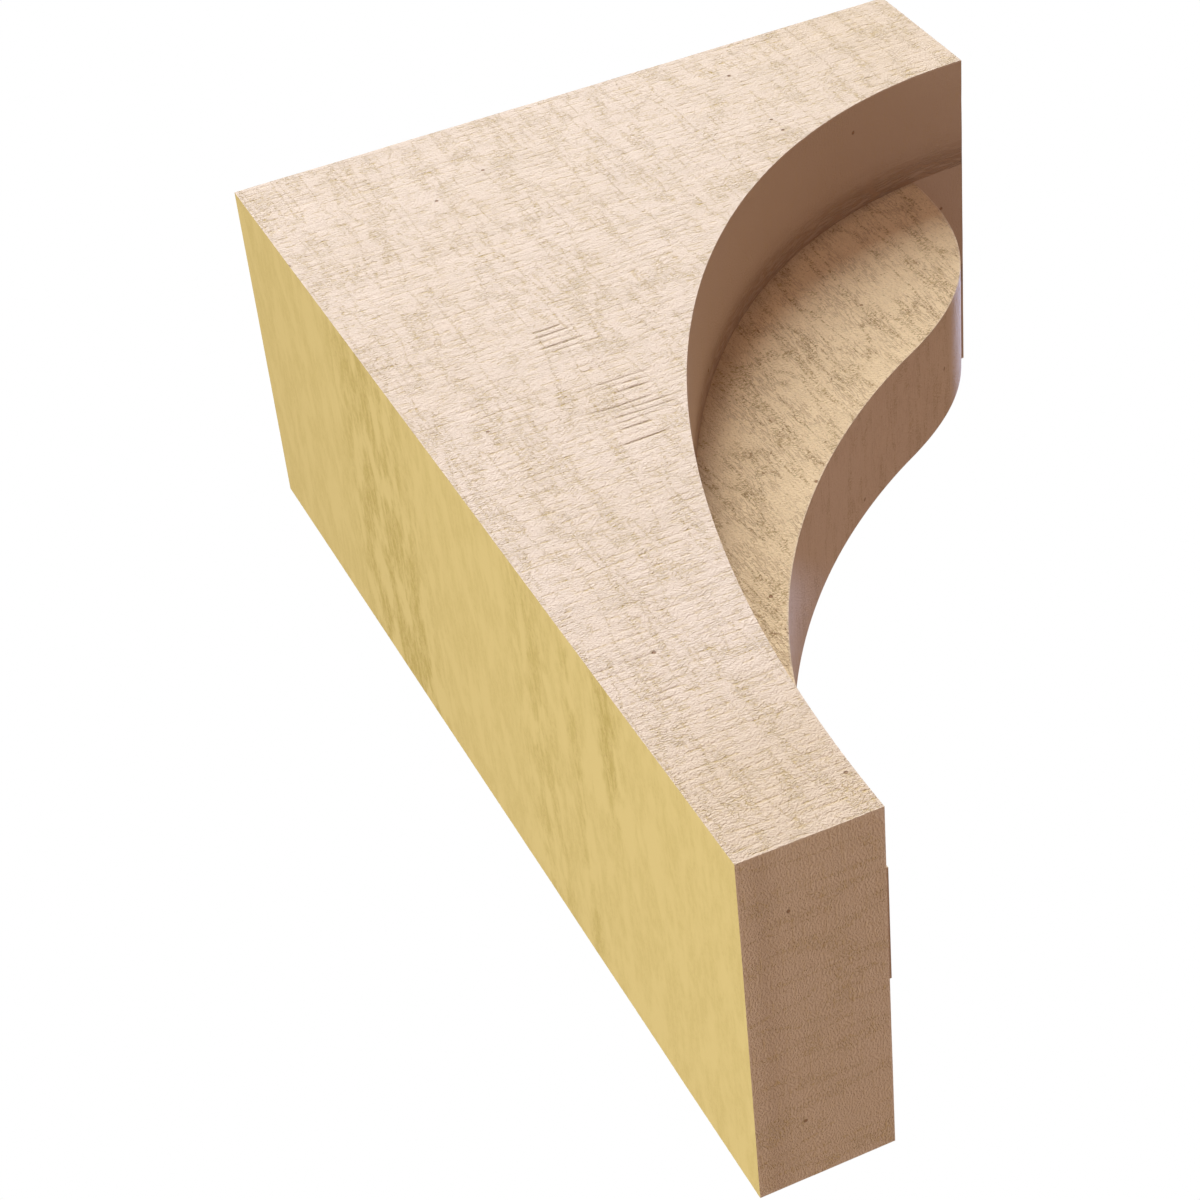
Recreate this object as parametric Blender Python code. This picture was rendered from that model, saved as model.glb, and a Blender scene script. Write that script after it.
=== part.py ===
"""A rough-sawn wall corbel with a cove front and a rib down the middle of it.

Units are metres and +Z is up. The origin is at the centre of the back, the flat
face that goes against the wall. The wall is on the +Y side, the corbel reaches
out towards -Y, and its width runs along X.

The outlines are drawn in side view, as pairs (out, up): out is the distance from
the wall, and up is the height above the foot.
"""

from math import cos, pi, radians, sin

import bmesh
import bpy
import numpy as np

# Overall sizes
WIDTH = 0.1524
PROJECTION = 0.3048
HEIGHT = 0.4572

# The square nose on top, and the depth of the foot that stands on the wall
NOSE_HEIGHT = 0.0686
FOOT_DEPTH = 0.0508

# The cove is a quarter of a superellipse. An exponent of 2 would be an ellipse.
COVE_EXPONENT = 2.06

# The rib stands proud of the cove, and its sides are square to the wall
RIB_WIDTH = 0.0508
RIB_SETBACK = 0.0252
RIB_FOOT_PROUD = 0.0127
RIB_FOOT_RISE = 0.0227

# The rib's front changes from a belly to a hollow at the bend. The bend lies this
# far behind the front of the rib, this far below the nose, and leans this much
# out of the vertical.
BEND_INSET = 0.0671
BEND_DROP = 0.1164
BEND_LEAN = radians(60)

# Fullness of the two curves of the rib: the length of each curve's handles as
# shares of the straight distance between its ends, from the top down
BELLY_FULLNESS = (0.475, 0.326)
HOLLOW_FULLNESS = (0.272, 0.434)

# Number of flats along each curve
COVE_FLATS = 56
BELLY_FLATS = 20
HOLLOW_FLATS = 36

# Edges that turn more than this stay sharp when the curves are shaded smooth
SHARP_ANGLE = radians(25)

# Primed, rough-sawn surface
PRIMER_COLOUR = (0.76, 0.65, 0.53, 1.0)
PRIMER_ROUGHNESS = 0.8


def cove_point(out):
    """The point of the cove that lies this far out from the wall."""
    reach = PROJECTION - FOOT_DEPTH
    rise = HEIGHT - NOSE_HEIGHT
    share = (PROJECTION - out) / reach
    return np.array((out, rise * (1 - share**COVE_EXPONENT) ** (1 / COVE_EXPONENT)))


def cove_curve():
    """Points of the cove from the foot up to the nose, both ends included."""
    reach = PROJECTION - FOOT_DEPTH
    rise = HEIGHT - NOSE_HEIGHT
    turns = np.linspace(0, pi / 2, COVE_FLATS + 1)
    power = 2 / COVE_EXPONENT
    out = PROJECTION - reach * np.cos(turns).clip(0) ** power
    up = rise * np.sin(turns) ** power
    return np.column_stack((out, up))


def bezier_curve(start, start_way, end, end_way, fullness, flats):
    """Points of a cubic curve that leaves start along start_way and arrives at
    end along end_way. Its handles are shares of the distance between the ends.
    """
    span = np.linalg.norm(end - start)
    handle_1 = start + start_way * fullness[0] * span
    handle_2 = end - end_way * fullness[1] * span
    t = np.linspace(0, 1, flats + 1)[:, None]
    return (
        (1 - t) ** 3 * start
        + 3 * (1 - t) ** 2 * t * handle_1
        + 3 * (1 - t) * t**2 * handle_2
        + t**3 * end
    )


def rib_curve():
    """Points of the rib's front, from the cove under the nose down to its foot."""
    down = np.array((0, -1))
    lean = np.array((-sin(BEND_LEAN), -cos(BEND_LEAN)))
    top = cove_point(PROJECTION - RIB_SETBACK)
    bend = np.array((top[0] - BEND_INSET, HEIGHT - NOSE_HEIGHT - BEND_DROP))
    foot = np.array((FOOT_DEPTH + RIB_FOOT_PROUD, RIB_FOOT_RISE))
    belly = bezier_curve(top, down, bend, lean, BELLY_FULLNESS, BELLY_FLATS)
    hollow = bezier_curve(bend, lean, foot, down, HOLLOW_FULLNESS, HOLLOW_FLATS)
    return np.vstack((belly, hollow[1:]))


def body_outline():
    """Side view of the bracket, without the rib."""
    back_and_top = np.array(((PROJECTION, HEIGHT), (0, HEIGHT), (0, 0)))
    return np.vstack((cove_curve(), back_and_top))


def rib_outline():
    """Side view of the rib. Its back and its top lie inside the bracket, half way
    through the foot and half way up the nose, so that the two join as one solid.
    """
    root_out = FOOT_DEPTH / 2
    root_up = HEIGHT - NOSE_HEIGHT / 2
    front = rib_curve()
    root = np.array(
        ((root_out, front[-1, 1]), (root_out, root_up), (front[0, 0], root_up))
    )
    return np.vstack((front, root))


def prism(name, outline, width):
    """An object of this side view, as wide as given, centred on the origin."""
    mesh = bmesh.new()
    near = [mesh.verts.new((-width / 2, -out, up - HEIGHT / 2)) for out, up in outline]
    face = mesh.faces.new(near)
    grown = bmesh.ops.extrude_face_region(mesh, geom=[face])["geom"]
    far = [item for item in grown if isinstance(item, bmesh.types.BMVert)]
    bmesh.ops.translate(mesh, vec=(width, 0, 0), verts=far)
    bmesh.ops.recalc_face_normals(mesh, faces=mesh.faces)
    data = bpy.data.meshes.new(name)
    mesh.to_mesh(data)
    mesh.free()
    item = bpy.data.objects.new(name, data)
    bpy.context.scene.collection.objects.link(item)
    return item


def join(body, addition):
    """Makes the addition part of the body's own solid, and removes it."""
    union = body.modifiers.new("union", "BOOLEAN")
    union.operation = "UNION"
    union.solver = "EXACT"
    union.object = addition
    bpy.context.view_layer.objects.active = body
    bpy.ops.object.modifier_apply(modifier=union.name)
    bpy.data.objects.remove(addition)


def primed_material():
    material = bpy.data.materials.new("primed_urethane")
    material.use_nodes = True
    shader = material.node_tree.nodes["Principled BSDF"]
    shader.inputs["Base Color"].default_value = PRIMER_COLOUR
    shader.inputs["Roughness"].default_value = PRIMER_ROUGHNESS
    shader.inputs["Metallic"].default_value = 0.0
    return material


def build():
    for item in list(bpy.data.objects):
        bpy.data.objects.remove(item)
    corbel = prism("corbel", body_outline(), WIDTH)
    join(corbel, prism("rib", rib_outline(), RIB_WIDTH))
    corbel.data.shade_smooth()
    corbel.data.set_sharp_from_angle(angle=SHARP_ANGLE)
    corbel.data.materials.append(primed_material())


build()
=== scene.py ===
"""A rough-sawn wall corbel, laid out as a Blender add-on and run as a script.

The corbel is one moulded piece. Its side view is a bracket with a hollow front,
the cove, under a square nose, and a narrower rib with a belly and a hollow stands
proud down the middle of the cove. Lengths are metres and +Z is up. The origin is
at the centre of the back, the flat face that goes against the wall on the +Y
side. Side views are drawn as out, the distance from the wall, and up, the height
above the foot.
"""

from math import cos, pi, radians, sin
from typing import NamedTuple

import bpy
import numpy as np
from bpy.props import FloatProperty, FloatVectorProperty, IntProperty, PointerProperty
from mathutils import Matrix, Vector


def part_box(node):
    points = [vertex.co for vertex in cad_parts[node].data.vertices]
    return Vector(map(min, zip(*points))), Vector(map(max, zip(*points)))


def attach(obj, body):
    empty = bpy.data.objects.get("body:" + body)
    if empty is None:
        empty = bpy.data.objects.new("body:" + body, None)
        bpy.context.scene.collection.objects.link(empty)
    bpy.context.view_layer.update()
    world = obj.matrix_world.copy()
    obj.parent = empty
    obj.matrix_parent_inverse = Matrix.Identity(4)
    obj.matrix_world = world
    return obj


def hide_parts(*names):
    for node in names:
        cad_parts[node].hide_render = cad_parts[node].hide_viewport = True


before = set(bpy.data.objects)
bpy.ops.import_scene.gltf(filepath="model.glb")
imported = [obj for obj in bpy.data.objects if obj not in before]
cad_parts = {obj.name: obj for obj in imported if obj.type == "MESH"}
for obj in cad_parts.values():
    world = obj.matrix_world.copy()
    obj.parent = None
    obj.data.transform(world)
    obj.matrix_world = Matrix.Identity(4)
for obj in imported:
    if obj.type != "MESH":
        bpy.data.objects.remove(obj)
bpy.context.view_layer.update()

bl_info = {
    "name": "Rough-sawn corbel",
    "version": (1, 0, 0),
    "blender": (4, 5, 0),
    "location": "3D View > Sidebar > Corbel",
    "description": "Builds a moulded wall corbel with a sawn timber texture",
    "category": "Add Mesh",
}

CAD_NODE = "corbel"
CAD_BODY = "root"
LOW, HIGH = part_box(CAD_NODE)
MM = 0.001

# Points that round to the same place on this grid are one point of the mesh
POINT_GRID = 1e-6

# Flats along each of the two curves of the rib's front
RIB_FLATS = 240

# Side of the tables of random values, after which a pattern repeats
TABLE_SIZE = 257

# Distance that stands for having no corner of cove and rib near
NO_CORNER = 1.0

# Edges that turn more than this stay sharp when the faces are shaded smooth
SHARP_ANGLE = radians(50)

# Factory primer on the sawn faces, from the pale skin to the dirt in the grain. The shade colour is
# painted shade, and the brown is dirt with some painted shade in it.
PRIMER_PALE = "EFDBC9"
PRIMER_TAN = "DFC6A6"
PRIMER_LINE = "C9AB66"
PRIMER_OCHRE = "F4D7AC"
PRIMER_SHADE = "B69B83"
PRIMER_GOUGE = "AC9166"
PRIMER_BROWN = "8E5E30"

# Rigid foam left bare on the back
FOAM_YELLOW = "D1C180"
FOAM_OLIVE = "B3A35A"

# Pale paper floor, and the tints of the lamps and of the room
FLOOR_PALE = "EFEAE4"
KEY_COOL = "EAF8FF"
LAMP_WHITE = "FFFFFF"
LAMP_WARM = "FFF7CE"
LAMP_BLUE = "BFD2FF"
ROOM_TAN = "FFD8C2"
BACKDROP_WHITE = "FFFFFF"


def linear(hex_colour):
    """The linear RGBA colour of an sRGB hex value."""
    shares = [int(hex_colour[i : i + 2], 16) / 255 for i in (0, 2, 4)]
    return [s / 12.92 if s <= 0.04045 else ((s + 0.055) / 1.055) ** 2.4 for s in shares] + [1.0]


def length(name, description, default):
    """A length property in metres."""
    return FloatProperty(name=name, description=description, default=default,
                         subtype="DISTANCE", unit="LENGTH")


def colour(name, description, hex_colour):
    """A colour property, from an sRGB hex value."""
    return FloatVectorProperty(name=name, description=description, default=linear(hex_colour), size=4,
                               min=0.0, max=1.0, subtype="COLOR")


def watts(name, description, default):
    """A property for the power of a lamp."""
    return FloatProperty(name=name, description=description, default=default, unit="POWER")


def share(name, description, default):
    """A property without a unit."""
    return FloatProperty(name=name, description=description, default=default)


class CorbelShape(bpy.types.PropertyGroup):
    """Sizes of the corbel's form."""

    width: length("Width", "Size along X", HIGH.x - LOW.x)
    projection: length("Projection", "Reach of the nose from the wall", HIGH.y - LOW.y)
    height: length("Height", "Size along Z", HIGH.z - LOW.z)
    nose_height: length("Nose height", "Height of the square nose on top", 0.0686)
    foot_depth: length("Foot depth", "Depth of the foot that stands on the wall", 0.0508)
    cove_exponent: share("Cove exponent", "Exponent of the cove's curve, where 2 is an ellipse", 2.06)
    rib_width: length("Rib width", "Width of the rib down the middle", 0.0508)
    rib_setback: length("Rib setback", "Distance of the rib's top behind the nose", 0.0252)
    rib_foot_proud: length("Rib foot", "Depth of the rib's foot in front of the bracket's foot", 0.0127)
    rib_foot_rise: length("Rib foot rise", "Height of the rib's foot above the bracket's foot", 0.0227)
    bend_inset: length("Bend inset", "Distance of the bend behind the rib's top", 0.0671)
    bend_drop: length("Bend drop", "Distance of the bend below the nose", 0.1164)
    bend_lean: FloatProperty(name="Bend lean", description="Lean of the rib's front at the bend",
                             default=radians(60), subtype="ANGLE", unit="ROTATION")
    belly_fullness: FloatVectorProperty(
        name="Belly fullness", description="Handles of the curve above the bend, as shares of its span",
        size=2, default=(0.475, 0.326),
    )
    hollow_fullness: FloatVectorProperty(
        name="Hollow fullness", description="Handles of the curve below the bend, as shares of its span",
        size=2, default=(0.272, 0.434),
    )


class CorbelRelief(bpy.types.PropertyGroup):
    """Sizes of the sawn relief and of the mesh that carries it."""

    row_pitch: length("Row pitch", "Height of one row of faces", 0.75 * MM)
    column_pitch: length("Column pitch", "Width of one column of faces", 3.6 * MM)
    strip_columns: IntProperty(name="Strip columns", description="Columns across each third of the width",
                               default=8)
    saw_pitch: length("Saw pitch", "Distance between saw marks", 3.8 * MM)
    saw_depth: length("Saw depth", "Depth of a saw mark", 0.16 * MM)
    scratch_depth: length("Scratch depth", "Depth of the short scratches between saw marks", 0.10 * MM)
    grain_depth: length("Grain depth", "Depth of the bands along the grain", 0.03 * MM)
    torn_depth: length("Torn depth", "Depth of patches where the grain tore", 0.12 * MM)
    gouge_depth: length("Gouge depth", "Depth of the short gouges across the grain", 0.38 * MM)
    gouge_width: length("Gouge width", "Width of a gouge across its length", 1.4 * MM)
    planed_depth: length("Planed depth", "Depth of the waves in planed and moulded faces", 0.12 * MM)


class CorbelFinish(bpy.types.PropertyGroup):
    """Colours of the corbel's finishes."""

    pale: colour("Pale primer", "Primer on the smooth skin", PRIMER_PALE)
    # Laid on more towards the nose and the foot, and in faint patches.
    tan: colour("Tan primer", "Thinner primer near nose and foot, and in faint patches", PRIMER_TAN)
    line: colour("Line primer", "Primer in the saw marks and scratches", PRIMER_LINE)
    # Laid over the rib's sides, and a little over the rib's front.
    ochre: colour("Ochre primer", "Thinner primer on the rib's sides", PRIMER_OCHRE)
    # Painted shade: a darker primer over the cove's hollow and its corner with the rib, and less of it
    # over the rib's front, the ledge and the foot.
    painted_shade: colour("Dark primer", "Dusty primer in the hollow of the cove", PRIMER_SHADE)
    gouge: colour("Gouge primer", "Primer in the short gouges", PRIMER_GOUGE)
    # The brown is dirt in the pits and in the foam's open cells, and partly painted shade in the fibres,
    # the torn marks and the ripples.
    brown: colour("Brown dirt", "Dirt in pits, fibres, ripples and open cells of the foam", PRIMER_BROWN)
    foam: colour("Foam", "Bare foam on the back", FOAM_YELLOW)
    olive: colour("Olive foam", "Cloudy streaks in the foam", FOAM_OLIVE)


class CorbelStage(bpy.types.PropertyGroup):
    """Floor, light and camera."""

    floor_drop: length("Floor drop", "Distance of the floor below the corbel's middle", 1.0)
    floor_size: length("Floor size", "Side of the square floor", 12.0)
    floor: colour("Floor", "Pale paper floor", FLOOR_PALE)
    lens: FloatProperty(name="Lens", description="Focal length of the camera", default=86.26,
                        subtype="DISTANCE_CAMERA")
    key_power: watts("Key power", "Power of the main lamp", 331.0)
    wall_power: watts("Wall-side power", "Power of the lamp behind the back", 26.0)
    low_power: watts("Low power", "Power of the lamp behind and below the foot", 3.0)
    fill_power: watts("Fill power", "Power of the lamp beside the near side", 2.0)
    rim_power: watts("Rim power", "Power of the narrow spotlight on the rib's belly", 85.0)
    room_strength: share("Room strength", "Strength of the warm light from all round", 0.354)


# Form


def cove_up(shape, out):
    """Height of the cove at this distance from the wall: a quarter of a superellipse
    from the foot up to the nose."""
    reach = shape.projection - shape.foot_depth
    rise = shape.height - shape.nose_height
    part = np.clip((shape.projection - out) / reach, 0, 1)
    return rise * (1 - part**shape.cove_exponent) ** (1 / shape.cove_exponent)


def cove_out(shape, up):
    """Distance of the cove from the wall at this height, the same curve the other way
    round. Above the cove it is the nose's."""
    reach = shape.projection - shape.foot_depth
    rise = shape.height - shape.nose_height
    part = np.clip(up / rise, 0, 1)
    return shape.projection - reach * (1 - part**shape.cove_exponent) ** (1 / shape.cove_exponent)


def bezier_curve(start, start_way, end, end_way, fullness, flats):
    """Points of a cubic curve that leaves start along start_way and arrives at end
    along end_way, with handles that are shares of the straight distance."""
    span = np.linalg.norm(end - start)
    handle_1 = start + start_way * fullness[0] * span
    handle_2 = end - end_way * fullness[1] * span
    t = np.linspace(0, 1, flats + 1)[:, None]
    return (
        (1 - t) ** 3 * start
        + 3 * (1 - t) ** 2 * t * handle_1
        + 3 * (1 - t) * t**2 * handle_2
        + t**3 * end
    )


def rib_curve(shape):
    """Points of the rib's front, from the cove under the nose down to the rib's foot:
    a belly that drops straight from the top and leans back at the bend, then a hollow
    that ends straight down."""
    down = np.array((0.0, -1.0))
    lean = np.array((-sin(shape.bend_lean), -cos(shape.bend_lean)))
    top_out = shape.projection - shape.rib_setback
    top = np.array((top_out, cove_up(shape, top_out)))
    bend = np.array((top_out - shape.bend_inset, shape.height - shape.nose_height - shape.bend_drop))
    foot = np.array((shape.foot_depth + shape.rib_foot_proud, shape.rib_foot_rise))
    belly = bezier_curve(top, down, bend, lean, shape.belly_fullness, RIB_FLATS)
    hollow = bezier_curve(bend, lean, foot, down, shape.hollow_fullness, RIB_FLATS)
    return np.vstack((belly, hollow[1:]))


def row_heights(shape, relief):
    """Heights of the rows, the same on every upright face: evenly spaced, with more of
    them where the cove runs flat under the nose, and one at each edge of the form."""
    chord = 4.5 * MM
    added_rows = 9
    even = np.linspace(0, shape.height, round(shape.height / relief.row_pitch) + 1)
    flat_part = cove_up(shape, shape.projection - np.arange(1, added_rows + 1) * chord)
    rib_top = cove_up(shape, shape.projection - shape.rib_setback)
    edges = np.array((shape.rib_foot_rise, rib_top, shape.height - shape.nose_height))
    kept = np.concatenate((flat_part, edges))
    gap = np.abs(even[:, None] - kept[None, :]).min(axis=1)
    even = even[(gap > relief.row_pitch / 4) | (even == 0) | (even == shape.height)]
    gap = np.abs(flat_part[:, None] - edges[None, :]).min(axis=1)
    return np.unique(np.concatenate((even, flat_part[gap > relief.row_pitch / 8], edges)))


def clamped_columns(columns, inner, outer, margin):
    """Distances from the wall of the points in each row: the even columns, held between
    the row's inner and outer ends, and pulled onto an end that is nearer than margin."""
    inner = np.broadcast_to(inner, outer.shape)[:, None]
    outer = outer[:, None]
    held = np.clip(columns[None, :], inner, outer)
    middle = (inner + outer) / 2
    held = np.where((held - inner < margin) & (held < middle), inner, held)
    held = np.where((outer - held < margin) & (held >= middle), outer, held)
    return held


# Relief


def random_field(along, over, cell_along, cell_over, seed):
    """Smooth random heights from 0 to 1: random values at the corners of a grid of
    cells, with an eased blend between them. The seed also shifts the grid."""
    table = np.random.default_rng(seed).random((TABLE_SIZE, TABLE_SIZE))
    x = along / cell_along + seed * 17.3
    y = over / cell_over + seed * 7.9
    column = np.floor(x).astype(int)
    row = np.floor(y).astype(int)
    u = x - column
    v = y - row
    u = u * u * (3 - 2 * u)
    v = v * v * (3 - 2 * v)
    left = column % TABLE_SIZE
    right = (column + 1) % TABLE_SIZE
    below = row % TABLE_SIZE
    above = (row + 1) % TABLE_SIZE
    low = table[left, below] * (1 - u) + table[right, below] * u
    high = table[left, above] * (1 - u) + table[right, above] * u
    return low * (1 - v) + high * v


def eased(value, low, high):
    """0 up to low, 1 from high on and a smooth step between. Low may be the larger, and
    then the step goes down."""
    t = np.clip((value - low) / (high - low), 0, 1)
    return t * t * (3 - 2 * t)


def soft_band(place, middle, half_width, power=2):
    """1 at the middle, about a third at the half width and 0 far outside. A higher power
    gives a flatter middle and steeper sides."""
    return np.exp(-(((place - middle) / half_width) ** power))


class GougeBand(NamedTuple):
    """A band of gouges on a side: the distance of its middle from the wall, half its
    width, the heights of its lower and upper ends, and its strength."""

    middle: float
    half_width: float
    low: float
    high: float
    strength: float


# The near side's bands stand where the real corbel has them. The far side's are a guess.
NEAR_GOUGES = (
    GougeBand(0.073, 12 * MM, 0.263, 0.302, 0.9),
    GougeBand(0.076, 11 * MM, 0.205, 0.255, 0.8),
    GougeBand(0.018, 6 * MM, 0.060, 0.120, 0.35),
)
FAR_GOUGES = (
    GougeBand(0.120, 10 * MM, 0.290, 0.350, 0.9),
    GougeBand(0.034, 8 * MM, 0.060, 0.110, 0.4),
)


def gouge_field(along, wavy, bands, pitch, seed):
    """How deep the gouges are, from 0 to 1. They follow some of the saw marks for a
    short way, like the rungs of a ladder, and fade at both ends of a band. Every mark
    has its own chance, middle, length and depth in each band."""
    fade = 8 * MM
    mark = np.floor(wavy / pitch).astype(int) % TABLE_SIZE
    total = np.zeros_like(along)
    for i, band in enumerate(bands):
        chance, shift, reach, depth = np.random.default_rng(seed + i).random((4, TABLE_SIZE))[:, mark]
        centre = band.middle + band.half_width * (shift - 0.5)
        flat = soft_band(along, centre, band.half_width * (0.45 + 0.75 * reach), 8)
        ends = eased(wavy, band.low, band.low + fade) * eased(wavy, band.high, band.high - fade)
        total = np.maximum(total, band.strength * (chance < 0.7) * (0.2 + 0.8 * depth) * flat * ends)
    return total


def cloud_bands(x, up):
    """How cloudy the bare foam is, from 0 to 1: the sum of a few soft bands across it,
    each at its own height, and some of them on one side only."""
    wide = soft_band(up, 0.312, 36 * MM, 4) * (0.55 + 0.45 * eased(x, -0.04, 0.05))
    low = soft_band(up, 0.094, 9 * MM) * eased(x, 0.0, -0.04)
    thin = soft_band(up, 0.160, 14 * MM) + soft_band(up, 0.126, 5 * MM)
    return np.clip(0.32 + wide + 0.8 * low + 0.45 * thin, 0, 1)


def wandering(along, over, seed):
    """The place over the marks, with the saw's slow and quick wander added."""
    slow = random_field(along, over, 45 * MM, 14 * MM, seed) - 0.5
    quick = random_field(along, over, 12 * MM, 6 * MM, seed + 1) - 0.5
    return over + 2.2 * MM * slow + 1.2 * MM * quick


def planed_relief(relief, along, over, strength, seed):
    """Depth of a planed or moulded surface in metres: a sum of broad waves of two sizes."""
    waves = random_field(along, over, 45 * MM, 40 * MM, seed + 2)
    waves += 0.5 * random_field(along, over, 20 * MM, 17 * MM, seed + 3)
    return relief.planed_depth * strength * waves


def sawn_relief(relief, along, wavy, over, strength, bands, seed):
    """Depth of the sawn surface in metres, and the gouges from 0 to 1. The depth is a
    sum of saw marks of one pitch, short scratches beside them, bands along the grain,
    torn patches and gouges."""
    wave = 0.5 - 0.5 * np.cos(2 * pi * wavy / relief.saw_pitch)
    uneven = eased(random_field(along, over, 14 * MM, 10 * MM, seed + 2), 0.25, 0.7)
    depth = relief.saw_depth * wave**3 * (0.25 + 0.75 * uneven)
    depth += relief.scratch_depth * random_field(along, over, 11 * MM, 1.5 * MM, seed + 3)
    depth += relief.grain_depth * random_field(along, over, 7.5 * MM, 90 * MM, seed + 4)
    torn = eased(random_field(along, over, 11 * MM, 55 * MM, seed + 5), 0.56, 0.78)
    torn = torn * eased(random_field(along, over, 15 * MM, 12 * MM, seed + 6), 0.3, 0.6)
    depth += relief.torn_depth * torn * random_field(along, over, 4.5 * MM, 1.9 * MM, seed + 7)
    gouges = gouge_field(along, wavy, bands, relief.saw_pitch, seed + 8)
    off_mark = (wavy / relief.saw_pitch) % 1 - 0.5
    groove = np.exp(-((2 * off_mark * relief.saw_pitch / relief.gouge_width) ** 2))
    return strength * depth + relief.gouge_depth * gouges * groove, gouges


# Mesh


class Look(NamedTuple):
    """How one kind of face is finished: the strength of its relief, and how much it shows
    of the saw's lines, of the rough nap, of the ochre and of the painted shade. A sawn face
    has saw marks cut into it, and gouges where it has bands of them. A bare one is foam
    without primer."""

    relief: float
    lines: float
    nap: float
    ochre: float
    painted_shade: float
    sawn: bool = False
    bare: bool = False


# The sides and the nose were sawn rough. The top has the saw's lines as colour and bump
# alone. The other faces were planed. The cove carries painted shade, and the rib's front,
# the ledge and the foot carry a little. The rib's sides are yellower.
LOOKS = {
    "side": Look(1.0, 1.0, 1.0, 0.0, 0.0, sawn=True),
    "nose": Look(0.9, 1.0, 1.0, 0.0, 0.0, sawn=True),
    "top": Look(1.0, 1.0, 1.0, 0.0, 0.0),
    "rib side": Look(0.8, 0.15, 1.1, 1.0, 0.0),
    "cove": Look(0.5, 0.0, 0.3, 0.0, 0.75),
    "rib front": Look(0.5, 0.0, 0.7, 0.3, 0.2),
    "ledge": Look(0.5, 0.2, 0.5, 0.0, 0.3),
    "foot": Look(0.5, 0.4, 0.9, 0.0, 0.19),
    "back": Look(0.8, 0.0, 0.0, 0.0, 0.0, bare=True),
}


class Patch:
    """One face of the form, as a grid of points with what the mesh needs there. Its family
    is its kind and the way it faces."""

    def __init__(self, kind, place, normal, marks, depth, values):
        self.kind = kind
        self.place = np.stack(np.broadcast_arrays(*place), axis=-1)
        size = self.place.shape[:2]
        self.normal = np.broadcast_to(np.asarray(normal, float), self.place.shape)
        self.marks = np.stack([np.broadcast_to(mark, size) for mark in marks], axis=-1)
        self.depth = np.broadcast_to(depth, size)
        self.values = {label: np.broadcast_to(number, size) for label, number in values.items()}
        self.family = (kind, tuple(np.sign(self.normal[0, 0].round(6))))

    def triangles(self, first):
        """Two triangles for each cell of the grid, turned to face along the normal. The
        points are numbered from first."""
        rows, columns = self.place.shape[:2]
        index = np.arange(rows * columns).reshape(rows, columns)
        a = index[:-1, :-1].ravel()
        b = index[:-1, 1:].ravel()
        c = index[1:, 1:].ravel()
        d = index[1:, :-1].ravel()
        tris = np.concatenate((np.column_stack((a, b, c)), np.column_stack((a, c, d))))
        flat = self.place.reshape(-1, 3)
        way = np.cross(flat[tris[:, 1]] - flat[tris[:, 0]], flat[tris[:, 2]] - flat[tris[:, 0]])
        if (way * self.normal.reshape(-1, 3)[tris[:, 0]]).sum() < 0:
            tris = tris[:, ::-1]
        return tris + first


def curve_normals(out, up, outward):
    """Unit normals (x, y, z) of a curve in the side view, on the side of outward."""
    d_out = np.gradient(out)
    d_up = np.gradient(up)
    size = np.hypot(d_out, d_up)
    normal = np.stack((np.zeros_like(out), -d_up / size, -d_out / size), axis=-1)
    if (normal @ np.array(outward)).sum() < 0:
        normal = -normal
    return normal[:, None, :]


def arc_length(out, up):
    """Distance along a curve from its first point."""
    steps = np.hypot(np.diff(out), np.diff(up))
    return np.concatenate(((0,), np.cumsum(steps)))[:, None]


def end_gap(values, low, high):
    """Distance to the nearer of two ends."""
    return np.minimum(values - low, high - values)


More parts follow.
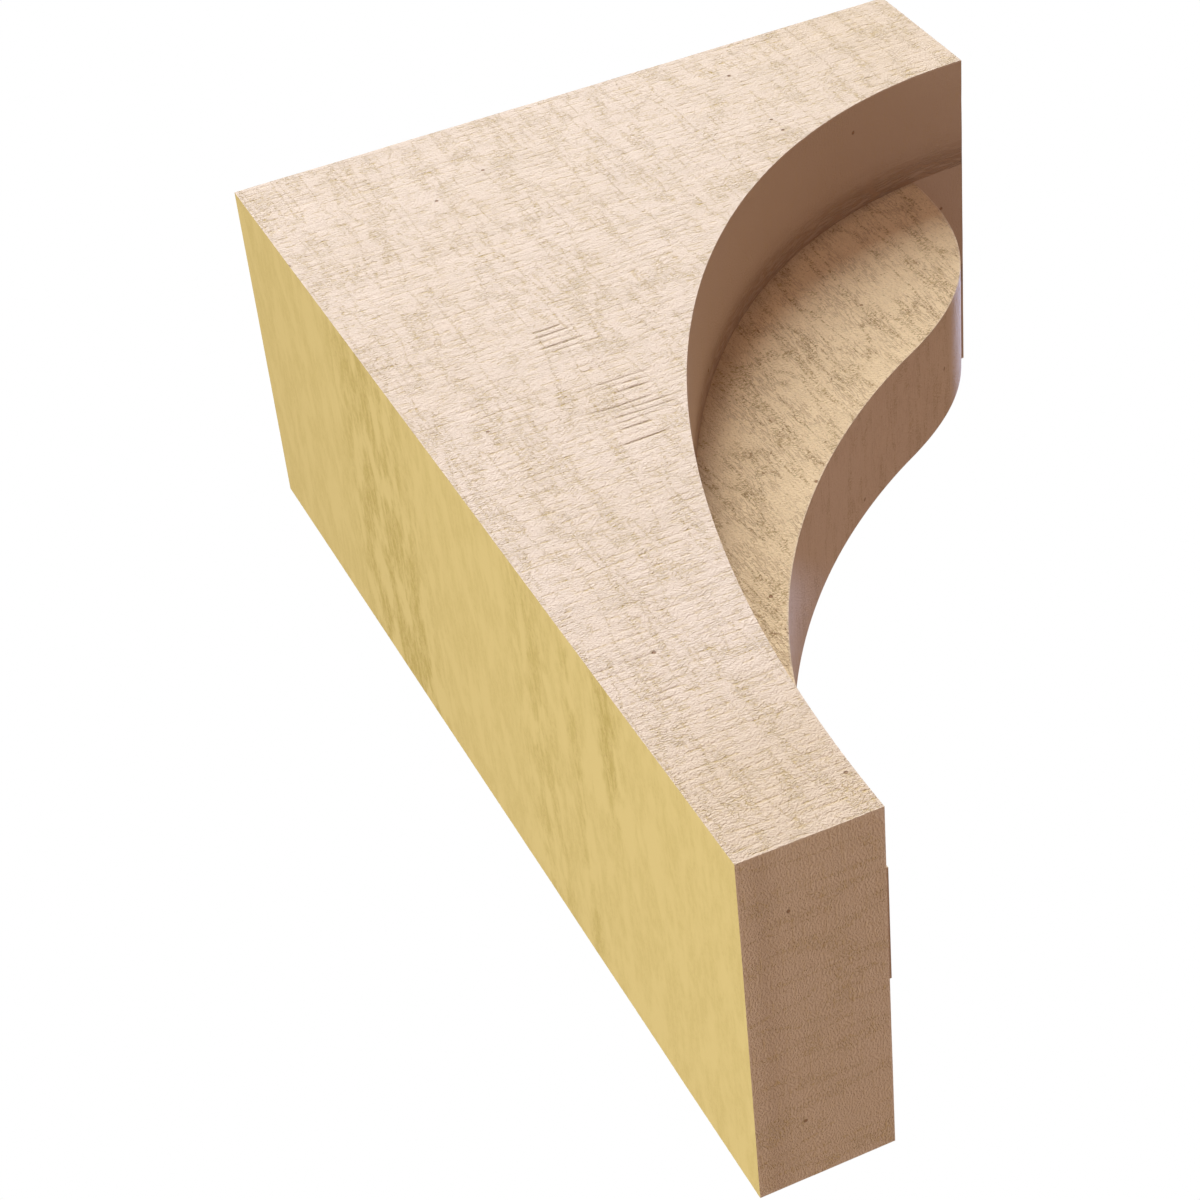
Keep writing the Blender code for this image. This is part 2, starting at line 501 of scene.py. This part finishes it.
def corbel_patches(shape, relief):
    """All faces of the form as grids that share their edge points."""
    half = shape.width / 2
    rib_half = shape.rib_width / 2
    rise = shape.height - shape.nose_height
    rows = row_heights(shape, relief)
    columns = np.linspace(0, shape.projection, round(shape.projection / relief.column_pitch) + 1)
    margin = relief.column_pitch / 3
    spans = ((-half, -rib_half), (-rib_half, rib_half), (rib_half, half))
    near, middle, far = (np.linspace(*span, relief.strip_columns + 1)[None, :] for span in spans)
    across = np.unique(np.concatenate((near, middle, far), axis=1))[None, :]
    patches = []

    def face(kind, x, out, up, normal, along, over, edge, seed, bands=(), crease=NO_CORNER):
        """Adds one face. Its marks run along one of its directions, and follow each other
        over the other one. The edge is the distance to the face's nearest edge, and the
        crease is the distance to the corner of cove and rib."""
        look = LOOKS[kind]
        gouges = 0.0
        along, over = np.broadcast_arrays(along, over)
        wavy = wandering(along, over, seed)
        if look.sawn:
            depth, gouges = sawn_relief(relief, along, wavy, over, look.relief, bands, seed)
        else:
            depth = planed_relief(relief, along, over, look.relief, seed)
        # The crease value is painted shade: 1 at the corner of cove and rib, and none from 17 mm away.
        values = {"gouge": gouges, "edge_gap": edge / MM, "crease": eased(crease, 17 * MM, 0)}
        values |= {"lines": look.lines, "nap": look.nap, "ochre": look.ochre, "painted_shade": look.painted_shade}
        # More tan towards the nose and the foot. On the bare back this attribute holds the clouds of the
        # foam instead.
        tan_near_nose_and_foot = 0.4 * eased(out, 0.17, 0.30) + 0.5 * eased(up, 0.10, 0.03)
        values["tan"] = cloud_bands(x, up) if look.bare else tan_near_nose_and_foot
        if kind == "foot":
            # A darker strip near the wall
            values["painted_shade"] = look.painted_shade + 0.25 * soft_band(out, 8 * MM, 4 * MM)
        patches.append(Patch(kind, (x, -out, up), normal, (along, wavy), depth, values))

    # Sides, with the hollow front cut out of them, and bands of gouges on them
    outer = cove_out(shape, rows)
    out = clamped_columns(columns, 0.0, outer, margin)
    up = rows[:, None]
    gap_out = outer[:, None] - out
    gap_up = np.where(out > shape.foot_depth, np.maximum(up - cove_up(shape, out), 0), shape.height)
    # The distance to the cove is about the height of the triangle of the two gaps
    no_gap = 1e-9
    cove_gap = gap_out * gap_up / np.maximum(np.hypot(gap_out, gap_up), no_gap)
    edge = np.minimum(np.minimum(out, cove_gap), end_gap(up, 0, shape.height))
    face("side", -half, out, up, (-1, 0, 0), out, up, edge, seed=10, bands=NEAR_GOUGES)
    face("side", half, out, up, (1, 0, 0), out, up, edge, seed=40, bands=FAR_GOUGES)

    # Sides of the rib
    rib = rib_curve(shape)[::-1]
    low = shape.rib_foot_rise
    high = cove_up(shape, shape.projection - shape.rib_setback)
    between = (rows >= low) & (rows <= high)
    rib_rows = rows[between]
    rib_outer = np.interp(rib_rows, rib[:, 1], rib[:, 0])
    rib_outer[-1] = outer[between][-1]
    rib_out = clamped_columns(columns, outer[between], rib_outer, margin)
    rib_up = rib_rows[:, None]
    rib_edge = rib_outer[:, None] - rib_out
    rib_crease = rib_out - outer[between][:, None]
    for side, seed in ((-1, 70), (1, 100)):
        face("rib side", side * rib_half, rib_out, rib_up, (side, 0, 0), rib_out, rib_up, rib_edge,
             seed=seed, crease=rib_crease)

    # Cove beside the rib, below it and above it
    cove_rows = rows[rows <= rise]
    cove_front = cove_out(shape, cove_rows)
    cove_normal = curve_normals(cove_front, cove_rows, (0, -1, -1))
    cove_length = arc_length(cove_front, cove_rows)
    for x, bottom, top in ((near, 0, rise), (far, 0, rise), (middle, 0, low), (middle, high, rise)):
        part = (cove_rows >= bottom) & (cove_rows <= top)
        crease = NO_CORNER if x is middle else np.abs(x) - rib_half
        face("cove", x, cove_front[part][:, None], cove_rows[part][:, None], cove_normal[part],
             cove_length[part], x, half - np.abs(x), seed=130, crease=crease)

    # Front of the rib, and the ledge under it
    rib_gap = rib_half - np.abs(middle)
    rib_normal = curve_normals(rib_outer, rib_rows, (0, -1, 0))
    face("rib front", middle, rib_outer[:, None], rib_up, rib_normal,
         arc_length(rib_outer, rib_rows), middle, rib_gap, seed=160)
    ledge = rib_out[0][:, None]
    face("ledge", middle, ledge, low, (0, 0, -1), middle, ledge, rib_gap, seed=165)

    # Nose, top, foot and back
    side_gap = half - np.abs(across)
    nose = rows[rows >= rise][:, None]
    face("nose", across, shape.projection, nose, (0, -1, 0), across, nose,
         np.minimum(side_gap, end_gap(nose, rise, shape.height)), seed=190)
    top = out[-1][:, None]
    face("top", across, top, shape.height, (0, 0, 1), top, across,
         np.minimum(side_gap, end_gap(top, 0, shape.projection)), seed=220)
    foot = out[0][:, None]
    face("foot", across, foot, 0.0, (0, 0, -1), across, foot,
         np.minimum(side_gap, end_gap(foot, 0, shape.foot_depth)), seed=250)
    face("back", across, 0.0, up, (0, 1, 0), across, up,
         np.minimum(side_gap, end_gap(up, 0, shape.height)), seed=280)
    return patches


def joined_mesh(name, patches, drop):
    """One closed mesh of all patches, lowered by drop. Points that meet are merged, and
    each point is pressed in along the normal of every family of faces that it belongs to,
    by the mean depth there. Cells that have shrunk to nothing are left out."""
    places = np.concatenate([p.place.reshape(-1, 3) for p in patches])
    normals = np.concatenate([p.normal.reshape(-1, 3) for p in patches])
    marks = np.concatenate([p.marks.reshape(-1, 2) for p in patches])
    depths = np.concatenate([p.depth.ravel() for p in patches])
    families = sorted({p.family for p in patches})
    family = np.concatenate([np.full(p.depth.size, families.index(p.family)) for p in patches])
    firsts = np.cumsum([0] + [p.depth.size for p in patches])
    tris = [p.triangles(first) for p, first in zip(patches, firsts)]
    bare = np.concatenate([np.full(len(t), LOOKS[p.kind].bare) for t, p in zip(tris, patches)])
    tris = np.concatenate(tris)

    grid = np.round(places / POINT_GRID).astype(np.int64)
    _, first, merged = np.unique(grid, axis=0, return_index=True, return_inverse=True)
    merged = merged.ravel()
    count = len(first)
    points = places[first].copy()
    for number in range(len(families)):
        mine = family == number
        at = merged[mine]
        weight = np.maximum(np.bincount(at, minlength=count), 1)
        depth = np.bincount(at, weights=depths[mine], minlength=count) / weight
        ways = [np.bincount(at, weights=normals[mine, axis], minlength=count) for axis in range(3)]
        points -= np.stack(ways, axis=-1) / weight[:, None] * depth[:, None]
    points[:, 2] -= drop

    corners = merged[tris]
    whole = (corners != np.roll(corners, 1, axis=1)).all(axis=1)
    tris = tris[whole]
    bare = bare[whole]
    corners = corners[whole]
    used, renumbered = np.unique(corners, return_inverse=True)
    mesh = bpy.data.meshes.new(name)
    mesh.vertices.add(len(used))
    mesh.vertices.foreach_set("co", points[used].ravel())
    mesh.loops.add(corners.size)
    mesh.loops.foreach_set("vertex_index", renumbered.ravel())
    mesh.polygons.add(len(corners))
    mesh.polygons.foreach_set("loop_start", np.arange(0, corners.size, 3))
    mesh.polygons.foreach_set("material_index", bare.astype(int))
    mesh.update(calc_edges=True)
    mesh.uv_layers.new(name="marks").uv.foreach_set("vector", marks[tris].ravel())
    for label in patches[0].values:
        numbers = np.concatenate([p.values[label].ravel() for p in patches])[tris]
        layer = mesh.attributes.new(label, "FLOAT", "CORNER")
        layer.data.foreach_set("value", numbers.ravel().astype(np.float32))
    mesh.shade_smooth()
    mesh.set_sharp_from_angle(angle=SHARP_ANGLE)
    if mesh.validate():
        raise RuntimeError(f"{name} has bad faces")
    return mesh


# Materials


def add(tree, kind, inputs=None, **settings):
    """Adds one node, sets its properties, and fills or links its inputs. An input goes by
    its name or number. A node given for an input is linked by its first output in use."""
    item = tree.nodes.new("ShaderNode" + kind)
    for name, value in settings.items():
        setattr(item, name, value)
    for key, value in (inputs or {}).items():
        named = [s for s in item.inputs if s.name == key and s.enabled]
        socket = named[0] if named else item.inputs[key]
        if isinstance(value, bpy.types.Node):
            value = next(s for s in value.outputs if s.enabled)
        if isinstance(value, bpy.types.NodeSocket):
            tree.links.new(value, socket)
        else:
            socket.default_value = value
    return item


def grain(tree, marks, along, over, shift, detail=2.0, roughness=0.5):
    """A random pattern, mostly from 0.25 to 0.75, whose grains are this many millimetres
    long along the marks and wide over them. The real nap is finer than a millimetre. No
    pattern here is finer than about 0.7 mm, one pixel of the picture, so that it shows."""
    scaled = add(tree, "Mapping", {"Vector": marks, "Location": (shift, shift, 0),
                                   "Scale": (1 / (along * MM), 1 / (over * MM), 1)})
    inputs = {"Vector": scaled, "Scale": 1.0, "Detail": detail, "Roughness": roughness}
    return add(tree, "TexNoise", inputs, noise_dimensions="2D")


def patchy(tree, pattern, low, high, least=0.0, most=1.0):
    """Soft-edged patches: least where the pattern is up to low, most from high on. Low may
    be the larger."""
    return add(tree, "MapRange", {"Value": pattern, "From Min": low, "From Max": high, "To Min": least,
                                  "To Max": most}, interpolation_type="SMOOTHSTEP")


def thin_lines(tree, pattern, width):
    """Thin wandering lines where a pattern crosses its middle."""
    off = add(tree, "Math", {0: pattern, 1: 0.5}, operation="SUBTRACT")
    away = add(tree, "Math", {0: off}, operation="ABSOLUTE")
    return patchy(tree, away, width, width * 0.3)


def product(tree, *patterns):
    """Patterns multiplied together."""
    total = patterns[0]
    for pattern in patterns[1:]:
        total = add(tree, "Math", {0: total, 1: pattern}, operation="MULTIPLY")
    return total


def weighted(tree, *terms):
    """A sum of patterns, each times its weight."""
    total = 0.0
    for pattern, weight in terms:
        total = add(tree, "Math", {0: pattern, 1: weight, 2: total}, operation="MULTIPLY_ADD")
    return total


def matt_material(name, roughness, ior):
    """A material that is no metal and has this roughness and IOR, its nodes and its shader."""
    material = bpy.data.materials.new(name)
    material.use_nodes = True
    shader = material.node_tree.nodes["Principled BSDF"]
    shader.inputs["Roughness"].default_value = roughness
    shader.inputs["IOR"].default_value = ior
    shader.inputs["Metallic"].default_value = 0.0
    return material, material.node_tree, shader


def coat(tree, first, layers):
    """Colours laid over the first one, each by its own share."""
    skin = list(first)
    for cover, tint in layers:
        skin = add(tree, "Mix", {"Factor": cover, "A": skin, "B": list(tint)}, data_type="RGBA")
    return skin


def dress(tree, shader, skin, height):
    """Gives the shader its colour, and its fine relief in millimetres."""
    bump = add(tree, "Bump", {"Height": height, "Distance": MM, "Strength": 1.0})
    tree.links.new(next(s for s in skin.outputs if s.enabled), shader.inputs["Base Color"])
    tree.links.new(bump.outputs["Normal"], shader.inputs["Normal"])


def primed_sawn_urethane(finish, relief):
    """Rigid urethane foam moulded against sawn timber, with a tan factory primer.

    The eye sees a matt, chalky, pinkish beige skin, with thin tan lines where the saw
    marked it, short brown gouges, and a fine rough nap where the grain tore."""
    material, tree, shader = matt_material("primed_sawn_urethane", 0.78, 1.5)
    uv = add(tree, "UVMap", uv_map="marks")
    known = {label: add(tree, "Attribute", attribute_name=label).outputs["Fac"]
             for label in ("lines", "nap", "ochre", "painted_shade", "tan", "gouge", "edge_gap", "crease")}

    # Saw marks: one thin line in each pitch, broken into short lengths, and wider gouges
    parts = add(tree, "SeparateXYZ", {"Vector": uv})
    turns = add(tree, "Math", {0: parts.outputs["Y"], 1: 1 / relief.saw_pitch}, operation="MULTIPLY")
    within = add(tree, "Math", {0: turns}, operation="FRACT")
    line_reach = 0.5 * MM
    saw = product(tree, thin_lines(tree, within, line_reach / relief.saw_pitch),
                  patchy(tree, grain(tree, uv, 6, 3.8, 0.7), 0.48, 0.6))
    nap = grain(tree, uv, 1.0, 0.8, 3.3, 2, 0.6)
    rung = product(tree, thin_lines(tree, within, relief.gouge_width * 0.6 / relief.saw_pitch),
                   patchy(tree, known["gouge"], 0.05, 0.6), patchy(tree, nap, 0.30, 0.55, 0.3, 1.0))

    # Short scratches, and fibres torn up in ridges along the grain and in patches
    scratches = product(tree, thin_lines(tree, grain(tree, uv, 6, 1.6, 1.9, 1, 0.5), 0.06),
                        patchy(tree, grain(tree, uv, 9, 7, 6.1), 0.42, 0.60, 0.1, 1.0))
    ridges = thin_lines(tree, grain(tree, uv, 12, 70, 2.7, 3, 0.5), 0.04)
    where = add(tree, "Math", {0: ridges, 1: patchy(tree, grain(tree, uv, 11, 26, 8.1), 0.58, 0.70)},
                operation="MAXIMUM")
    torn = product(tree, thin_lines(tree, grain(tree, uv, 2.4, 1.3, 5.5, 1, 0.5), 0.08), where)
    specks = patchy(tree, grain(tree, uv, 1.5, 1.3, 9.1, 1, 0.5), 0.66, 0.76)
    # Fibres on the ochre faces, painted brown partly as dirt and partly as painted shade of their
    # self-shadow.
    fibres = product(tree, thin_lines(tree, grain(tree, uv, 1.8, 10, 4.9, 2, 0.6), 0.07), known["ochre"],
                     patchy(tree, grain(tree, uv, 14, 20, 6.6), 0.40, 0.62, 0.3, 1.0))

    # A few small pits, at most one in a cell of this size
    cell = 24 * MM
    cells = add(tree, "Mapping", {"Vector": uv, "Scale": (1 / cell, 1 / cell, 1)})
    pits = add(tree, "TexVoronoi", {"Vector": cells, "Scale": 1.0}, voronoi_dimensions="2D")
    lot = add(tree, "SeparateColor", {0: pits.outputs["Color"]})
    pit = product(tree, patchy(tree, pits.outputs["Distance"], 0.04, 0.02), patchy(tree, lot, 0.86, 0.88))

    # Ripples along the corner of cove and rib. They lie only in the painted shade of the cove and its
    # corner, so their brown is partly painted shade.
    ripples = product(tree, thin_lines(tree, grain(tree, uv, 16, 1.6, 3.9, 2, 0.5), 0.12),
                      known["crease"], known["painted_shade"])

    # How much of each colour lies over the pale primer
    faint = patchy(tree, grain(tree, uv, 40, 60, 7.7), 0.35, 0.65)
    broad = weighted(tree, (faint, 0.1), (known["tan"], 1.0))
    # Painted shade: the shade primer over the cove and the faces under the corbel, with more of it in the
    # corner of cove and rib.
    painted_shade_cover = weighted(tree, (known["painted_shade"], 1.0), (known["crease"], 0.45))
    lined = product(tree, weighted(tree, (saw, 0.35), (scratches, 0.3)), known["lines"])
    fuzzy = product(tree, weighted(tree, (torn, 0.40), (specks, 0.2)), known["nap"])
    marked = weighted(tree, (lined, 1.0), (fuzzy, 1.0))
    gouged = weighted(tree, (rung, 0.5))
    # Brown on the torn marks and specks of the rib's sides: partly dirt, partly painted shade of their
    # self-shadow.
    brownish = product(tree, weighted(tree, (torn, 1.0), (specks, 0.8)), known["ochre"])
    # Brown laid over the primer: dirt in the pits, and partly painted shade in the fibres, the torn marks
    # and the ripples.
    dirt_and_painted_shade = weighted(tree, (pit, 0.7), (fibres, 0.30), (brownish, 0.33), (ripples, 0.5))
    # Painted highlight: a thin line of pale primer along every edge, strongest at the edge itself.
    painted_edge_highlight = patchy(tree, known["edge_gap"], 1.0, 0.3, 0.0, 0.3)
    layers = ((broad, finish.tan), (known["ochre"], finish.ochre), (painted_shade_cover, finish.painted_shade),
              (marked, finish.line), (gouged, finish.gouge), (dirt_and_painted_shade, finish.brown), (painted_edge_highlight, finish.pale))
    skin = coat(tree, finish.pale, layers)

    # Fine relief in millimetres
    cut = product(tree, weighted(tree, (saw, -0.12), (scratches, -0.16)), known["lines"])
    rough = product(tree, weighted(tree, (torn, -0.18), (nap, 0.65)), known["nap"])
    height = weighted(tree, (cut, 1.0), (rough, 1.0), (rung, -0.40), (pit, -0.4), (fibres, -0.18),
                      (ripples, -0.5))
    dress(tree, shader, skin, height)
    return material


def bare_rigid_foam(finish):
    """Rigid urethane foam as it comes from the mould, without primer.

    The eye sees a smooth, dull yellow skin with faint olive clouds drawn out across the
    width, and fine dark specks of open cells in them."""
    material, tree, shader = matt_material("bare_rigid_foam", 0.7, 1.5)
    uv = add(tree, "UVMap", uv_map="marks")
    # On the back, the attribute tan holds the bands in which the foam is cloudy
    bands = add(tree, "Attribute", attribute_name="tan").outputs["Fac"]
    clouds = grain(tree, uv, 30, 12, 4.4, 4, 0.6)
    streaks = patchy(tree, grain(tree, uv, 10, 3.0, 8.8, 4, 0.7), 0.40, 0.60, 0.4, 1.0)
    specks = grain(tree, uv, 1.6, 1.3, 1.2, 2, 0.6)
    cloudy = product(tree, patchy(tree, clouds, 0.36, 0.58), bands)
    olive = product(tree, cloudy, streaks)
    open_cells = product(tree, cloudy, patchy(tree, specks, 0.54, 0.66))
    clouded = weighted(tree, (olive, 0.85))
    speckled = weighted(tree, (open_cells, 0.20))
    skin = coat(tree, finish.foam, ((clouded, finish.olive), (speckled, finish.brown)))
    dress(tree, shader, skin, weighted(tree, (clouds, 0.1), (specks, 0.12)))
    return material


def pale_paper(stage):
    """Matt background paper. The eye sees an even, pale, warm white."""
    material, _, shader = matt_material("pale_paper", 0.9, 1.45)
    shader.inputs["Base Color"].default_value = list(stage.floor)
    return material


# Stage


def looking_matrix(place, target, up):
    """Placing of a camera or lamp that looks at the target with this side up."""
    back = (Vector(place) - Vector(target)).normalized()
    right = Vector(up).cross(back).normalized()
    turned = Matrix((right, back.cross(right), back)).transposed().to_4x4()
    return Matrix.Translation(place) @ turned


def hung_lamp(data, way, distance, power, tint, target):
    """A lamp with this light, in this direction from the target, facing it."""
    data.energy = power
    data.color = linear(tint)[:3]
    lamp = bpy.data.objects.new(data.name, data)
    place = Vector(target) + Vector(way).normalized() * distance
    lamp.matrix_world = looking_matrix(place, target, (0, 0, 1))
    bpy.context.scene.collection.objects.link(lamp)
    return lamp


def soft_lamp(name, way, distance, size, power, tint, target):
    """An area lamp of this width and height, which the camera doesn't see."""
    data = bpy.data.lights.new(name, "AREA")
    data.shape = "RECTANGLE"
    data.size, data.size_y = size
    lamp = hung_lamp(data, way, distance, power, tint, target)
    lamp.visible_camera = False


def spotlight(name, way, distance, cone, power, tint, target):
    """A narrow spotlight with a soft rim and soft shadows."""
    data = bpy.data.lights.new(name, "SPOT")
    data.spot_size = cone
    data.spot_blend = 0.6
    data.shadow_soft_size = 0.06
    hung_lamp(data, way, distance, power, tint, target)


def room_light(strength, tint, backdrop):
    """A world that lights the corbel with an even, warm room, and shows the camera a
    white backdrop."""
    world = bpy.data.worlds.new("room")
    world.use_nodes = True
    tree = world.node_tree
    tree.nodes.clear()
    room = add(tree, "Background", {"Color": linear(tint), "Strength": strength})
    white = add(tree, "Background", {"Color": linear(backdrop), "Strength": 1.0})
    seen = add(tree, "LightPath").outputs["Is Camera Ray"]
    both = add(tree, "MixShader", {0: seen, 1: room, 2: white})
    add(tree, "OutputWorld", {"Surface": both})
    bpy.context.scene.world = world


# Operators and panel


class CORBEL_OT_body(bpy.types.Operator):
    """Build the moulded corbel with its sawn relief, primer and bare foam back"""

    bl_idname = "mesh.sawn_corbel"
    bl_label = "Build corbel"

    def execute(self, context):
        scene = context.scene
        shape, relief, finish = scene.corbel_shape, scene.corbel_relief, scene.corbel_finish
        mesh = joined_mesh("sawn_corbel", corbel_patches(shape, relief), shape.height / 2)
        piece = bpy.data.objects.new("sawn_corbel", mesh)
        scene.collection.objects.link(piece)
        mesh.materials.append(primed_sawn_urethane(finish, relief))
        mesh.materials.append(bare_rigid_foam(finish))
        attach(piece, CAD_BODY)
        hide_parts(CAD_NODE)
        print(f"sawn_corbel: {len(mesh.polygons)} triangles")
        return {"FINISHED"}


class CORBEL_OT_stage(bpy.types.Operator):
    """Set up the pale floor, the soft light and the camera"""

    bl_idname = "scene.corbel_stage"
    bl_label = "Set up stage"

    def execute(self, context):
        scene = context.scene
        stage = scene.corbel_stage
        half = stage.floor_size / 2
        mesh = bpy.data.meshes.new("floor")
        corners = [(-half, -half), (half, -half), (half, half), (-half, half)]
        mesh.from_pydata([(x, y, -stage.floor_drop) for x, y in corners], [], [(0, 1, 2, 3)])
        mesh.materials.append(pale_paper(stage))
        floor = bpy.data.objects.new("floor", mesh)
        # The floor throws no light back on the corbel
        floor.visible_diffuse = False
        scene.collection.objects.link(floor)

        centre = (0, -0.10, 0.03)
        soft_lamp("key", (-0.637, -0.242, 0.732), 5.0, (1.67, 3.33), stage.key_power, KEY_COOL, centre)
        soft_lamp("wall side", (-0.1, 1.0, -0.1), 2.0, (1.2, 1.2), stage.wall_power, LAMP_WHITE, centre)
        soft_lamp("low", (0, 0.8, -0.6), 1.4, (0.84, 0.84), stage.low_power, LAMP_WARM, centre)
        soft_lamp("fill", (-0.9, 0.5, -0.3), 1.5, (0.9, 0.9), stage.fill_power, LAMP_BLUE, centre)
        belly = (0, -0.264, 0.095)
        spotlight("rim", (0.45, -0.69, 0.72), 1.2, radians(9), stage.rim_power, LAMP_BLUE, belly)
        room_light(stage.room_strength, ROOM_TAN, BACKDROP_WHITE)

        # The camera looks up from below the foot, behind the back and off the near side,
        # and is rolled
        data = bpy.data.cameras.new("camera")
        data.lens = stage.lens
        data.sensor_width = 36.0
        data.clip_start = 0.01
        camera = bpy.data.objects.new("camera", data)
        place = (-0.6707, 0.2481, -0.7926)
        target = (-0.0047, -0.0501, -0.0100)
        upwards = (-0.7780, -0.3217, 0.5396)
        camera.matrix_world = looking_matrix(place, target, upwards)
        scene.collection.objects.link(camera)
        scene.camera = camera
        scene.view_settings.view_transform = "Standard"
        return {"FINISHED"}


class CORBEL_PT_sidebar(bpy.types.Panel):
    """Lists the corbel's sizes, colours and operators"""

    bl_idname = "CORBEL_PT_sidebar"
    bl_label = "Rough-sawn corbel"
    bl_space_type = "VIEW_3D"
    bl_region_type = "UI"
    bl_category = "Corbel"

    def draw(self, context):
        for title, settings, _ in SETTINGS:
            box = self.layout.box()
            box.label(text=title)
            group = getattr(context.scene, settings)
            for name in group.__annotations__:
                box.prop(group, name)
        for operator in OPERATORS:
            self.layout.operator(operator.bl_idname)


SETTINGS = (
    ("Shape", "corbel_shape", CorbelShape),
    ("Relief", "corbel_relief", CorbelRelief),
    ("Finish", "corbel_finish", CorbelFinish),
    ("Stage", "corbel_stage", CorbelStage),
)
OPERATORS = (CORBEL_OT_body, CORBEL_OT_stage)


def register():
    for _, settings, group in SETTINGS:
        bpy.utils.register_class(group)
        setattr(bpy.types.Scene, settings, PointerProperty(type=group))
    for operator in OPERATORS:
        bpy.utils.register_class(operator)
    bpy.utils.register_class(CORBEL_PT_sidebar)


def unregister():
    bpy.utils.unregister_class(CORBEL_PT_sidebar)
    for operator in reversed(OPERATORS):
        bpy.utils.unregister_class(operator)
    for _, settings, group in reversed(SETTINGS):
        delattr(bpy.types.Scene, settings)
        bpy.utils.unregister_class(group)


def main():
    register()
    bpy.ops.mesh.sawn_corbel()
    bpy.ops.scene.corbel_stage()


if __name__ == "__main__":
    main()
